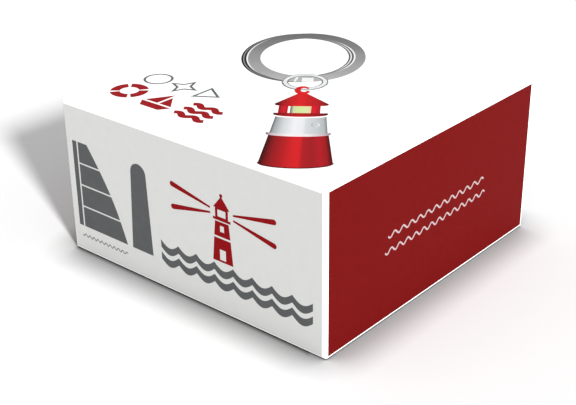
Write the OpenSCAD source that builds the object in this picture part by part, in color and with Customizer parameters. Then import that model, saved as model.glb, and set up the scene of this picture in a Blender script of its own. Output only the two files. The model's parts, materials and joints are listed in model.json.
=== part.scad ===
// Boxed souvenir key ring: a rigid board gift box with a full-depth lift-off lid, and in its
// tray, sunk in a foam insert, a small metal lighthouse on a split ring.
// Units are millimetres. The origin is the centre of the box's underside, +Z is up, the front
// of the box faces -Y and its red side faces +X.

/* [Box] */
// outer length of each side of the square lid
box_side = 80; // [60:1:120]
// height of the closed box
box_height = 40; // [38:1:60]
// thickness of the grey board
board_t = 1.2; // [0.8:0.1:2]
// thickness of the covering paper
paper_t = 0.2; // [0.1:0.05:0.3]
// height of the lid's lower edge above the table
lid_reveal = 0.4; // [0.2:0.1:3]
// how far the lid's covering paper is turned in over its lower edge
lid_turn_in = 12; // [6:1:20]
// sideways gap between the lid's turned-in paper and the tray, on each side
lid_gap = 0.4; // [0.2:0.1:1]
// how far the tray's covering paper is turned in over its rim
tray_turn_in = 15; // [6:1:20]
// thickness of the gummed paper tape over the board's corners, which is pressed flush
stay_t = 0.1; // [0.05:0.05:0.2]
// width of the tape on each side of a corner
stay_w = 11; // [6:1:15]
// distance from the tape's ends to the board's edges
stay_inset = 1.5; // [1:0.5:5]

/* [Insert] */
// thickness of the foam block
foam_t = 8.8; // [6:0.1:12]
// thickness of the flocked card on the foam
card_t = 0.5; // [0.3:0.1:1]
// gap between the insert and the tray's walls, on each side
insert_gap = 0.1; // [0:0.05:0.5]
// gap between the charm and its pocket's walls, on each side
pocket_gap = 0.25; // [0.1:0.05:0.6]
// gap between the charm and its pocket's floors
pocket_rest = 0.05; // [0.02:0.01:0.2]
// depth of the slot for the link ring, below the link ring
slot_rest = 0.3; // [0.1:0.1:1]
// width of the slot for the link ring
slot_w = 2.2; // [1.8:0.1:4]

/* [Charm] */
// height of the charm's axis above the table as it lies in the insert
axis_z = 12; // [11:0.1:14]
// how far the charm's base lies from the box's centre, along the diagonal
base_s = 42.3; // [40:0.1:43]
// diameter of the lower tower at its base
tower_d = 15.4; // [12:0.1:15.6]
// diameter of the lower tower at its top
tower_top_d = 13.1; // [11:0.1:15]
// height of the lower tower
tower_h = 15.1; // [12:0.1:16]
// diameter of the collar between the towers
collar_d = 14.0; // [13:0.1:15]
// height of the collar
collar_h = 1.5; // [1:0.1:2]
// diameter of the upper tower at its foot
upper_d = 12.7; // [11:0.1:13]
// diameter of the upper tower at its top
upper_top_d = 11.5; // [10:0.1:12.5]
// height of the upper tower
upper_h = 9.0; // [7:0.1:10]
// diameter of each round porthole on the upper tower
porthole_d = 2.2; // [1.4:0.1:2.6]
// how far the portholes stand out of the upper tower's widest part
porthole_out = 0.1; // [0.05:0.05:0.3]
// number of portholes around each row
porthole_count = 4; // [3:1:6]
// number of rows of portholes
porthole_rows = 3; // [2:1:3]
// diameter of the gallery
gallery_d = 12.3; // [12:0.1:13]
// thickness of the gallery
gallery_h = 1.6; // [1:0.1:2]
// outer diameter of the lantern's cage
cage_d = 9.5; // [8:0.1:11]
// height of the lantern's cage
cage_h = 5.5; // [4:0.1:7]
// radial thickness of the cage's rings and posts
cage_wall = 1.2; // [0.8:0.1:1.5]
// height of each of the cage's two rings
cage_ring_h = 0.5; // [0.4:0.1:1]
// width of each cage post
post_w = 2.1; // [1.2:0.1:2.5]
// angle of each post from the cage's sideways centre line, in degrees
post_angle = 30; // [25:1:45]
// diameter of the lamp
lamp_d = 5.6; // [4:0.1:6]
// height of the bosses that centre the cage on the gallery and under the roof
boss_h = 0.4; // [0.2:0.1:0.5]
// diameter of the roof at its eaves
roof_d = 12.3; // [11:0.1:13]
// thickness of the roof's eaves
eave_h = 0.8; // [0.5:0.1:1.5]
// height of the roof from under its eaves to its neck
roof_h = 7.5; // [6:0.1:9]
// diameter of the roof's neck
neck_d = 2.5; // [2:0.1:4]
// outer diameter of the eyelet
eye_d = 5.4; // [4.5:0.1:6]
// diameter of the eyelet's hole
eye_hole_d = 2.8; // [2.2:0.1:3]
// thickness of the eyelet
eye_t = 2.0; // [1.5:0.1:2.5]

/* [Screw] */
// diameter of the tie screw's shank
screw_d = 2.5; // [2:0.5:3]
// length of the tie screw under its head
screw_l = 20; // [18:1:21]
// diameter of the tie screw's head
head_d = 4.6; // [4:0.1:5]
// height of the tie screw's head
head_h = 1.8; // [1.5:0.1:2.2]
// width of each slot of the cross in the screw's head
cross_w = 0.6; // [0.4:0.1:0.8]
// depth of the cross in the screw's head
cross_h = 0.9; // [0.5:0.1:1.2]
// outer diameter of the washer
washer_d = 5.6; // [5:0.1:6]
// thickness of the washer
washer_t = 0.6; // [0.4:0.1:0.8]
// diameter of the clearance bore for the screw, also the washer's hole
bore_d = 2.9; // [2.7:0.1:3.2]
// diameter of the counterbore and of the plug that closes it
plug_d = 6.4; // [6:0.1:7]
// thickness of the plug
plug_t = 2.0; // [1.5:0.1:2.5]
// gap between the plug and the screw's head
plug_gap = 0.3; // [0.2:0.1:1]
// diameter of the gallery's spigot, which the screw threads into
spigot_d = 5.0; // [4.5:0.1:6]
// length of the gallery's spigot
spigot_l = 5.0; // [4:0.5:6]

/* [Rings] */
// outer diameter of the link ring
link_d = 11.4; // [10:0.1:13]
// diameter of the link ring's wire
link_wire = 1.3; // [1:0.1:1.6]
// outer diameter of the split ring
ring_d = 37; // [32:1:37]
// width of the split ring's band
band_w = 3.4; // [2.5:0.1:3.5]
// thickness of one turn of the split ring's band
turn_t = 1.22; // [1:0.01:1.3]
// gap between the split ring's two turns
turn_gap = 0.06; // [0.02:0.01:0.1]
// width of the small bevels along the band's edges
band_bevel = 0.15; // [0.05:0.05:0.3]
// distance from the link ring's centre to the middle of the band it holds
band_offset = 2.05; // [1.5:0.05:2.1]
// where the band crosses from one turn to the other, in degrees from the link ring
cross_angle = 125; // [60:5:300]
// half the length of that crossing, along the band
cross_half = 3.2; // [2.5:0.1:5]
// gap between the crossing and each end of the band
cross_gap = 0.5; // [0.3:0.1:1]

/* [Hidden] */
$fn = 96;
// a small overrun, so that cuts pass right through
eps = 0.5;
// inside and outside faces of the lid, as whole widths
lid_board_out = box_side - 2 * paper_t;
lid_board_in = lid_board_out - 2 * board_t;
lid_wrap_in = lid_board_in - 2 * paper_t;
lid_edge_z = lid_reveal + paper_t;
lid_roof_z = box_height - paper_t - board_t;
lining_z = lid_roof_z - paper_t;
// inside and outside faces of the tray, as whole widths
tray_wrap_out = lid_wrap_in - 2 * lid_gap;
tray_board_out = tray_wrap_out - 2 * paper_t;
tray_board_in = tray_board_out - 2 * board_t;
tray_wrap_in = tray_board_in - 2 * paper_t;
tray_rim_z = lining_z;
tray_floor_z = paper_t + board_t;
// the insert
insert_side = tray_board_in - 2 * insert_gap;
foam_top_z = tray_floor_z + foam_t;
card_top_z = foam_top_z + card_t;
// heights along the charm, from its base
collar_h0 = tower_h;
upper_h0 = collar_h0 + collar_h;
gallery_h0 = upper_h0 + upper_h;
cage_h0 = gallery_h0 + gallery_h;
roof_h0 = cage_h0 + cage_h;
neck_h0 = roof_h0 + roof_h;
eye_h0 = neck_h0 + eye_d / 2 - 0.1;
// heights of the hidden screw joint, from the base
head_h0 = plug_t + plug_gap;
washer_h0 = head_h0 + head_h;
counterbore_h = washer_h0 + washer_t;
// clearances of the lantern's parts
boss_d = cage_d - 2 * cage_wall - 0.1;
// widest radius of the upper tower with its portholes
upper_reach = upper_d / 2 + porthole_out;
// positions along the diagonal, from the box's centre towards the charm's base
eye_s = base_s - eye_h0;
link_s = eye_s - (link_d - link_wire) / 2;
band_s = link_s - band_offset;
ring_s = band_s - (ring_d - band_w) / 2;
ring_h = 2 * turn_t + turn_gap;
ring_z0 = axis_z - ring_h / 2;
// direction of the diagonal, towards the corner between the front and the red side
diagonal = -45;

// a square block centred on the axis, from one height to another
module block(side, z0, z1) {
    translate([-side / 2, -side / 2, z0]) cube([side, side, z1 - z0]);
}

// a square tube centred on the axis
module tube(side_out, side_in, z0, z1) {
    difference() {
        block(side_out, z0, z1);
        block(side_in, z0 - eps, z1 + eps);
    }
}

// the four corner tapes, let into the corners of a board shell of the given width
module stays(side, z0, z1) {
    intersection() {
        tube(side, side - 2 * stay_t, z0, z1);
        for (x = [-1, 1], y = [-1, 1])
            translate([x * side / 2 - stay_w, y * side / 2 - stay_w, z0 - eps])
                cube([2 * stay_w, 2 * stay_w, z1 - z0 + 2 * eps]);
    }
}

// places a part made upright, base at zero, as the charm lies in the insert
module lying() {
    rotate([0, 0, diagonal]) translate([base_s, 0, axis_z]) rotate([0, -90, 0]) children();
}

// places a part made in diagonal coordinates, x towards the charm's base
module along_diagonal() {
    rotate([0, 0, diagonal]) children();
}

module lid_board() {
    color([0.63, 0.61, 0.58]) difference() {
        block(lid_board_out, lid_edge_z, box_height - paper_t);
        block(lid_board_in, lid_edge_z - eps, lid_roof_z);
        stays(lid_board_out, lid_edge_z + stay_inset, lid_roof_z - stay_inset);
    }
}

module lid_wrap() {
    color([0.96, 0.96, 0.95]) union() {
        difference() {
            block(box_side, lid_reveal, box_height);
            block(lid_board_out, lid_edge_z, box_height - paper_t);
            block(lid_board_in, lid_reveal - eps, lid_edge_z + eps);
        }
        tube(lid_board_in, lid_wrap_in, lid_reveal, lid_edge_z + lid_turn_in);
    }
}

module lid_lining() {
    color([0.94, 0.94, 0.93]) block(lid_board_in - 2 * paper_t, lining_z, lid_roof_z);
}

module lid_corner_stays() {
    color([0.82, 0.76, 0.62])
        stays(lid_board_out, lid_edge_z + stay_inset, lid_roof_z - stay_inset);
}

module base_board() {
    color([0.63, 0.61, 0.58]) difference() {
        block(tray_board_out, paper_t, tray_rim_z - paper_t);
        block(tray_board_in, tray_floor_z, tray_rim_z);
        stays(tray_board_out, tray_floor_z + stay_inset, tray_rim_z - paper_t - stay_inset);
    }
}

module base_wrap() {
    color([0.27, 0.28, 0.28]) union() {
        tube(tray_wrap_out, tray_board_out, paper_t, tray_rim_z);
        tube(tray_board_out, tray_board_in, tray_rim_z - paper_t, tray_rim_z);
        tube(tray_board_in, tray_wrap_in, tray_rim_z - tray_turn_in, tray_rim_z);
    }
}

module base_bottom_sheet() {
    color([0.27, 0.28, 0.28]) block(tray_board_out, 0, paper_t);
}

module base_corner_stays() {
    color([0.82, 0.76, 0.62])
        stays(tray_board_out, tray_floor_z + stay_inset, tray_rim_z - paper_t - stay_inset);
}

// half widths of the pocket at the lower tower, at the upper tower and lantern, and at the neck
pocket_low = tower_d / 2 + pocket_gap;
pocket_mid = upper_reach + pocket_gap;
pocket_neck = neck_d / 2 + 2 * pocket_gap;
// where the pocket's sections end, along the diagonal
low_end_s = base_s + pocket_gap;
mid_start_s = base_s - upper_h0 - pocket_gap;
mid_end_s = base_s - roof_h0 - eave_h - pocket_gap;
neck_end_s = base_s - neck_h0 - 1;
slot_end_s = link_s - link_d / 2 - pocket_gap * 2;

// outline of the pocket for the upper tower, gallery, lantern and roof, in diagonal coordinates
module mid_outline() {
    polygon([[mid_start_s + eps, pocket_mid], [mid_end_s, pocket_mid],
             [neck_end_s, pocket_neck], [neck_end_s, -pocket_neck],
             [mid_end_s, -pocket_mid], [mid_start_s + eps, -pocket_mid]]);
}

// outline of the insert's whole cut-out, seen from above, in diagonal coordinates
module cut_out() {
    translate([mid_start_s, -pocket_low]) square([low_end_s - mid_start_s, 2 * pocket_low]);
    mid_outline();
    translate([slot_end_s, -slot_w / 2]) square([neck_end_s + eps - slot_end_s, slot_w]);
}

module foam_insert() {
    color([0.13, 0.13, 0.14]) difference() {
        block(insert_side, tray_floor_z, foam_top_z);
        along_diagonal() {
            // pocket for the lower tower and collar
            translate([mid_start_s, -pocket_low, axis_z - tower_d / 2 - pocket_rest])
                cube([low_end_s - mid_start_s, 2 * pocket_low, axis_z]);
            // shallower pocket for the upper tower, gallery, lantern and roof
            translate([0, 0, axis_z - upper_reach - pocket_rest])
                linear_extrude(height = axis_z) mid_outline();
            // slot for the link ring, which stands on edge
            translate([slot_end_s, -slot_w / 2, axis_z - link_d / 2 - slot_rest])
                cube([neck_end_s + eps - slot_end_s, slot_w, axis_z]);
        }
    }
}

module insert_card() {
    color([0.17, 0.17, 0.18]) difference() {
        block(insert_side, foam_top_z, card_top_z);
        along_diagonal() translate([0, 0, foam_top_z - eps])
            linear_extrude(height = card_t + 2 * eps) cut_out();
    }
}

module lower_tower() {
    color([0.78, 0.07, 0.08]) lying() difference() {
        rotate_extrude() polygon([[0, 0], [tower_d / 2 - 0.3, 0], [tower_d / 2, 0.3],
                                  [tower_top_d / 2, tower_h], [0, tower_h]]);
        translate([0, 0, -eps]) cylinder(d = plug_d, h = counterbore_h + eps);
        cylinder(d = bore_d, h = tower_h + eps);
    }
}

module base_plug() {
    color([0.78, 0.07, 0.08]) lying() cylinder(d = plug_d, h = plug_t);
}

module collar_ring() {
    color([0.80, 0.81, 0.82]) lying() translate([0, 0, collar_h0]) difference() {
        // two flat faces and a rounded rim
        union() {
            rotate_extrude() translate([collar_d / 2 - collar_h / 2, collar_h / 2])
                circle(d = collar_h);
            cylinder(d = collar_d - collar_h, h = collar_h);
        }
        translate([0, 0, -eps]) cylinder(d = bore_d, h = collar_h + 2 * eps);
    }
}

module upper_tower() {
    color([0.80, 0.81, 0.82]) lying() translate([0, 0, upper_h0]) difference() {
        union() {
            cylinder(d1 = upper_d, d2 = upper_top_d, h = upper_h);
            for (row = [1 : porthole_rows], i = [0 : porthole_count - 1])
                translate([0, 0, upper_h * row / (porthole_rows + 1)])
                    rotate([0, 0, (i + 0.5) * 360 / porthole_count]) rotate([0, 90, 0])
                        difference() {
                            cylinder(d = porthole_d, h = upper_reach);
                            translate([0, 0, upper_reach - 0.2])
                                cylinder(d = porthole_d - 0.9, h = eps);
                        }
        }
        translate([0, 0, -eps]) cylinder(d = bore_d, h = upper_h + 2 * eps);
        translate([0, 0, upper_h - spigot_l]) cylinder(d = spigot_d, h = spigot_l + eps);
    }
}

module gallery_deck() {
    color([0.72, 0.06, 0.08]) lying() translate([0, 0, gallery_h0]) difference() {
        union() {
            cylinder(d = gallery_d, h = gallery_h);
            translate([0, 0, -spigot_l]) cylinder(d = spigot_d, h = spigot_l + gallery_h / 2);
            cylinder(d = boss_d, h = gallery_h + boss_h);
        }
        // blind threaded bore for the tie screw
        translate([0, 0, -spigot_l - eps]) cylinder(d = screw_d, h = spigot_l + eps);
    }
}

module lantern_lamp() {
    color([0.87, 0.91, 0.71]) lying() translate([0, 0, cage_h0 + boss_h])
        cylinder(d = lamp_d, h = cage_h - 2 * boss_h);
}

module lantern_cage() {
    color([0.78, 0.07, 0.08]) lying() translate([0, 0, cage_h0]) {
        intersection() {
            difference() {
                cylinder(d = cage_d, h = cage_h);
                translate([0, 0, -eps]) cylinder(d = cage_d - 2 * cage_wall, h = cage_h + 2 * eps);
            }
            union() {
                for (z = [0, cage_h - cage_ring_h]) translate([0, 0, z])
                    cylinder(d = cage_d + 1, h = cage_ring_h);
                for (side = [90, 270], a = [-post_angle, post_angle])
                    rotate([0, 0, side + a]) translate([0, -post_w / 2, 0])
                        cube([cage_d, post_w, cage_h]);
            }
        }
    }
}

module roof_cap() {
    color([0.78, 0.07, 0.08]) lying() difference() {
        union() {
            translate([0, 0, roof_h0]) cylinder(d = roof_d, h = eave_h);
            translate([0, 0, roof_h0 - boss_h]) cylinder(d = boss_d, h = boss_h + eave_h / 2);
            translate([0, 0, roof_h0 + eave_h])
                cylinder(d1 = roof_d, d2 = neck_d, h = roof_h - eave_h);
            // neck up into the eyelet
            translate([0, 0, neck_h0 - 0.2]) cylinder(d = neck_d - 0.2, h = 1);
            translate([-eye_t / 2, 0, eye_h0]) rotate([0, 90, 0]) cylinder(d = eye_d, h = eye_t);
        }
        translate([-eye_t, 0, eye_h0]) rotate([0, 90, 0]) cylinder(d = eye_hole_d, h = 2 * eye_t);
    }
}

module tie_screw() {
    color([0.75, 0.75, 0.76]) lying() translate([0, 0, head_h0]) difference() {
        union() {
            cylinder(d = head_d, h = head_h);
            cylinder(d = screw_d, h = head_h + screw_l);
        }
        for (a = [0, 90]) rotate([0, 0, a]) translate([-head_d / 3, -cross_w / 2, -eps])
            cube([head_d * 2 / 3, cross_w, cross_h + eps]);
    }
}

module screw_washer() {
    color([0.75, 0.75, 0.76]) lying() translate([0, 0, washer_h0]) difference() {
        cylinder(d = washer_d, h = washer_t);
        translate([0, 0, -eps]) cylinder(d = bore_d, h = washer_t + 2 * eps);
    }
}

// a closed ring of round wire, standing in the upright plane along the diagonal
module link_ring() {
    color([0.80, 0.81, 0.82]) along_diagonal() translate([link_s, 0, axis_z])
        rotate([90, 0, 0]) rotate_extrude()
            translate([(link_d - link_wire) / 2, 0]) circle(d = link_wire, $fn = 48);
}

// a flat ring with the band's width and bevelled edges, between two heights
module band(z0, z1) {
    rotate_extrude() translate([ring_d / 2, 0])
        polygon([[-band_w, z0 + band_bevel], [-band_w + band_bevel, z0], [-band_bevel, z0],
                 [0, z0 + band_bevel], [0, z1 - band_bevel], [-band_bevel, z1],
                 [-band_w + band_bevel, z1], [-band_w, z1 - band_bevel]]);
}

// one flat turn of the split ring's band, broken where the band crosses over
module turn(z0) {
    difference() {
        band(z0, z0 + turn_t);
        rotate([0, 0, cross_angle]) translate([0, -cross_half, z0 - eps])
            cube([ring_d, 2 * cross_half, turn_t + 2 * eps]);
    }
}

// the crossing: a sloping piece of the same band, from the lower turn's one end up to the
// upper turn's other end
module crossing() {
    step = turn_t + turn_gap;
    intersection() {
        band(0, ring_h);
        rotate([0, 0, cross_angle]) rotate([90, 0, 90]) linear_extrude(height = ring_d)
            polygon([[-cross_half - 1, 0], [-cross_half + cross_gap, 0],
                     [cross_half - cross_gap, step], [cross_half + 1, step],
                     [cross_half + 1, ring_h], [cross_half - cross_gap, ring_h],
                     [-cross_half + cross_gap, turn_t], [-cross_half - 1, turn_t]]);
    }
}

// the split ring: two flat turns of one band, lying on the insert's card
module split_ring() {
    color([0.70, 0.71, 0.72]) along_diagonal() translate([ring_s, 0, ring_z0]) {
        union() {
            turn(0);
            turn(turn_t + turn_gap);
            crossing();
        }
    }
}

lid_board();
lid_wrap();
lid_lining();
lid_corner_stays();
base_board();
base_wrap();
base_bottom_sheet();
base_corner_stays();
foam_insert();
insert_card();
lower_tower();
base_plug();
collar_ring();
upper_tower();
gallery_deck();
lantern_lamp();
lantern_cage();
roof_cap();
tie_screw();
screw_washer();
link_ring();
split_ring();
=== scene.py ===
"""Looks for the boxed souvenir key ring: papers, board, foam and metal, the printed
pictures on the lid, the floor, the light and the camera.

Sizes are in millimetres unless a name says otherwise, and MM turns them into metres.
"""

import json
import math

import bmesh
import bpy
from mathutils import Matrix, Vector
from mathutils.geometry import tessellate_polygon


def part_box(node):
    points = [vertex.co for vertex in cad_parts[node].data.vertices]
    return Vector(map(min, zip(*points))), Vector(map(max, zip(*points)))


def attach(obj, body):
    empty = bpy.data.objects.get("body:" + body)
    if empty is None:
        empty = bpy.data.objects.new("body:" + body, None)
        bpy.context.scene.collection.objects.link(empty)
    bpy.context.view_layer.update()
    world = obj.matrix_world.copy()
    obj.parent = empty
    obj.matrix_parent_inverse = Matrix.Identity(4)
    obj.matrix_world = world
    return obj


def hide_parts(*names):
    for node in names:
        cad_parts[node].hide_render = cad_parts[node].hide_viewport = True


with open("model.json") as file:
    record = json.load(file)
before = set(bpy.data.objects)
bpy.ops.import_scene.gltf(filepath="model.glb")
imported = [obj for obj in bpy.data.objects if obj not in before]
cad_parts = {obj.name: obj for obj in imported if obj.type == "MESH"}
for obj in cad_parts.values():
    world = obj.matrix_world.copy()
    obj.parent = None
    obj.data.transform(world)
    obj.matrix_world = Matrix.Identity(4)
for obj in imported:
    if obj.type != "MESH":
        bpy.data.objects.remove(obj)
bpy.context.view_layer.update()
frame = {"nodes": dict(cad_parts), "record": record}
nodes = frame["nodes"]

MM = 0.001
LOW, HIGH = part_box("lid_wrap")
SIDE = (HIGH[0] - LOW[0]) / MM  # width of every face of the lid
SKIRT = (HIGH[2] - LOW[2]) / MM  # height of the lid's four upright faces


# ---------------------------------------------------------------- materials


def linear(r, g, b):
    """A colour given as 0 to 255 screen values, as linear light with alpha."""
    steps = [v / 255 for v in (r, g, b)]
    return [v / 12.92 if v <= 0.04045 else ((v + 0.055) / 1.055) ** 2.4 for v in steps] + [1]


# how brightly white paper is lit on each face that the pictures are on
TOP_LIGHT, FRONT_LIGHT, SIDE_LIGHT = 1.30, 1.45, 2.17


def lit(light, r, g, b):
    """The paper or ink colour that looks like r, g, b on screen under that much light."""
    return [min(1.0, c / light) for c in linear(r, g, b)[:3]] + [1]


class Graph:
    """A material under construction: one Principled shader and what feeds it."""

    def __init__(self, name, **settings):
        self.material = bpy.data.materials.new(name)
        self.material.use_nodes = True
        self.tree = self.material.node_tree
        self.shader = self.tree.nodes["Principled BSDF"]
        self.here = self.node("ShaderNodeTexCoord").outputs["Object"]
        for socket, value in settings.items():
            socket = socket.replace("_", " ").title().replace("Ior", "IOR")
            self.shader.inputs[socket].default_value = value

    def node(self, kind, inputs=None, **settings):
        """A new node. inputs maps a socket's name or number to a value or to a socket."""
        made = self.tree.nodes.new(kind)
        for name, value in settings.items():
            setattr(made, name, value)
        for socket, value in (inputs or {}).items():
            self.feed(made.inputs[socket], value)
        return made

    def feed(self, socket, value):
        """Links a socket to another, or sets its value."""
        if isinstance(value, bpy.types.NodeSocket):
            self.tree.links.new(value, socket)
        else:
            socket.default_value = value

    def math(self, operation, a, b=0.0, clamp=False):
        made = self.node("ShaderNodeMath", {0: a, 1: b}, operation=operation)
        made.use_clamp = clamp
        return made.outputs[0]

    def noise(self, size, detail=3.0, where=None, stretch=(1, 1, 1)):
        """Noise whose features are about size millimetres across."""
        spot = self.node(
            "ShaderNodeMapping", {"Vector": where or self.here, "Scale": stretch}
        ).outputs[0]
        made = self.node(
            "ShaderNodeTexNoise",
            {"Vector": spot, "Scale": 1 / (size * MM), "Detail": detail, "Roughness": 0.55},
        )
        return made.outputs["Fac"]

    def cells(self, size):
        """Distance from the nearest of many scattered points, about size apart."""
        made = self.node(
            "ShaderNodeTexVoronoi", {"Vector": self.here, "Scale": 1 / (size * MM)}
        )
        return made.outputs["Distance"]

    def spread(self, value, low, high, start=0.0, end=1.0):
        """value, taken from the span low to high to the span start to end."""
        made = self.node("ShaderNodeMapRange", {0: value, 1: low, 2: high, 3: start, 4: end})
        return made.outputs[0]

    def ramp(self, value, stops, smooth=True):
        """A colour from a list of (place, colour) stops."""
        made = self.node("ShaderNodeValToRGB", {0: value})
        made.color_ramp.interpolation = "EASE" if smooth else "LINEAR"
        ends = made.color_ramp.elements
        for i, (place, colour) in enumerate(stops):
            stop = ends[i] if i < 2 else ends.new(place)
            stop.position, stop.color = place, colour
        return made.outputs[0]

    def mix(self, share, a, b, how="MIX"):
        made = self.node(
            "ShaderNodeMix", {"Factor": share, 6: a, 7: b}, data_type="RGBA", blend_type=how
        )
        return made.outputs[2]

    def bumps(self, *layers):
        """Bump from (height, depth in millimetres) layers, finest last."""
        normal = None
        for height, depth in layers:
            inputs = {"Height": height, "Distance": depth * MM, "Strength": 1.0}
            if normal:
                inputs["Normal"] = normal
            normal = self.node("ShaderNodeBump", inputs).outputs[0]
        self.feed(self.shader.inputs["Normal"], normal)

    def colour(self, value):
        self.feed(self.shader.inputs["Base Color"], value)

    def roughness(self, value):
        self.feed(self.shader.inputs["Roughness"], value)


def tinted(graph, colour, size, strength):
    """colour with cloudy light and dark patches of that size and strength."""
    dark = [c * (1 - strength) for c in colour[:3]] + [1]
    light = [min(1, c * (1 + strength)) for c in colour[:3]] + [1]
    return graph.mix(graph.spread(graph.noise(size), 0.35, 0.65), dark, light)


PAPER_GLOSS = 0.03  # of the coated paper and everything printed on it


def coated_paper(name, colour, mottle=0.02):
    """Smooth coated paper with a satin film: faint fibres under it, and the board's waver."""
    g = Graph(name, ior=1.45, specular_ior_level=PAPER_GLOSS)
    g.colour(tinted(g, colour, 2.5, mottle))
    g.roughness(g.spread(g.noise(0.6), 0.3, 0.7, 0.5, 0.62))
    g.bumps((g.noise(9.0, 1), 0.02), (g.noise(0.18, 2), 0.003))
    return g.material


def plain_paper(name, colour):
    """Uncoated paper, with the fibres showing."""
    g = Graph(name, ior=1.4)
    fibres = g.noise(0.25, 4, stretch=(1, 0.35, 1))
    g.colour(g.mix(g.spread(fibres, 0.3, 0.7), [c * 0.93 for c in colour[:3]] + [1], colour))
    g.roughness(g.spread(fibres, 0.3, 0.7, 0.75, 0.9))
    g.bumps((g.noise(6.0, 1), 0.03), (fibres, 0.012))
    return g.material


def grey_board():
    """Recycled grey board: mixed fibres with light and dark flecks."""
    g = Graph("grey_board", ior=1.4)
    base = tinted(g, linear(160, 155, 147), 1.4, 0.12)
    flecks = g.spread(g.cells(0.55), 0.0, 0.16, 1.0, 0.0)
    pale = g.spread(g.noise(0.3, 4), 0.58, 0.7)
    g.colour(g.mix(pale, g.mix(flecks, base, linear(96, 88, 78)), linear(186, 182, 174)))
    g.roughness(g.spread(g.noise(0.4), 0.3, 0.7, 0.82, 0.95))
    g.bumps((g.noise(0.8, 4), 0.05), (g.noise(0.15, 3), 0.015))
    return g.material


def linen_paper(name, colour):
    """Dark covering paper, embossed with a fine linen weave, with painted shade in the weave's
    grooves and painted light on its raised threads.
    """
    g = Graph(name, ior=1.45)
    threads = []
    for way in ("X", "Y", "Z"):
        threads.append(
            g.node(
                "ShaderNodeTexWave",
                {"Vector": g.here, "Scale": 0.5 / (0.9 * MM), "Distortion": 1.2, "Detail": 2.0},
                bands_direction=way,
            ).outputs["Fac"]
        )
    weave = g.math("ADD", g.math("MAXIMUM", threads[0], threads[1]), threads[2])
    wear_and_painted_shade = g.spread(weave, 0.9, 1.9)
    # painted shade in the weave's grooves and painted light on its raised threads
    g.colour(g.mix(wear_and_painted_shade, [c * 0.8 for c in colour[:3]] + [1], [c * 1.25 for c in colour[:3]] + [1]))
    g.roughness(g.spread(weave, 0.6, 1.9, 0.62, 0.5))
    g.bumps((g.noise(7.0, 1), 0.03), (weave, 0.02), (g.noise(0.2, 3), 0.006))
    return g.material


def kraft_tape():
    """Brown gummed tape with long fibres."""
    g = Graph("kraft_tape", ior=1.4)
    fibres = g.noise(0.3, 4, stretch=(1, 1, 0.2))
    g.colour(g.mix(g.spread(fibres, 0.3, 0.7), linear(164, 128, 84), linear(196, 162, 116)))
    g.roughness(g.spread(fibres, 0.3, 0.7, 0.6, 0.75))
    g.bumps((fibres, 0.012))
    return g.material


def cut_foam():
    """Charcoal closed-cell foam, its cells opened by the cut, their pits darkened with painted
    shade.
    """
    g = Graph("cut_foam", ior=1.45)
    cells = g.cells(0.42)
    # painted shade: darker towards the middle of each cell, where the bump sinks
    g.colour(g.mix(g.spread(cells, 0.0, 0.6), linear(28, 28, 30), linear(58, 58, 61)))
    g.roughness(g.spread(cells, 0.0, 0.6, 0.95, 0.7))
    g.bumps((g.noise(3.0, 2), 0.06), (cells, 0.09), (g.noise(0.1, 2), 0.01))
    return g.material


def flocked_card():
    """Short dark pile, brushed lighter and darker in places, with painted shade near black between
    its fibres.
    """
    g = Graph("flocked_card", sheen_weight=0.35, sheen_roughness=0.45, ior=1.4)
    pile = g.noise(0.14, 3)
    brushed = g.spread(g.noise(9.0, 3, stretch=(1, 2.2, 1)), 0.4, 0.62)
    base = g.mix(brushed, linear(38, 38, 41), linear(54, 54, 58))
    # painted shade: near black where the pile's bump is low
    g.colour(g.mix(g.spread(pile, 0.35, 0.65), [0.006, 0.006, 0.007, 1], base))
    g.roughness(g.spread(pile, 0.3, 0.7, 0.98, 0.85))
    g.bumps((brushed, 0.02), (pile, 0.06))
    return g.material


def enamel(name, colour):
    """Baked gloss enamel on cast metal: thick, faintly rippled, with a clear top."""
    g = Graph(name, coat_weight=1.0, coat_roughness=0.06, ior=1.5)
    g.colour(tinted(g, colour, 3.0, 0.10))
    g.roughness(g.spread(g.noise(0.8), 0.3, 0.7, 0.26, 0.36))
    g.bumps((g.noise(2.2, 2), 0.02), (g.noise(0.35, 2), 0.003))
    return g.material


def plated_metal(name, colour, low, high):
    """Polished plating with hairline scratches and slightly hazy patches."""
    g = Graph(name, metallic=1.0)
    hair = g.noise(0.12, 3, stretch=(1, 0.06, 1))
    cross = g.noise(0.12, 3, stretch=(0.06, 1, 1))
    scratches = g.math("MAXIMUM", g.spread(hair, 0.64, 0.7), g.spread(cross, 0.66, 0.72))
    haze = g.spread(g.noise(1.6), 0.35, 0.65, low, high)
    g.colour(tinted(g, colour, 1.8, 0.05))
    g.roughness(g.math("ADD", haze, g.math("MULTIPLY", scratches, 0.12)))
    g.bumps((g.noise(2.5, 2), 0.012), (scratches, 0.001))
    return g.material


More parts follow.
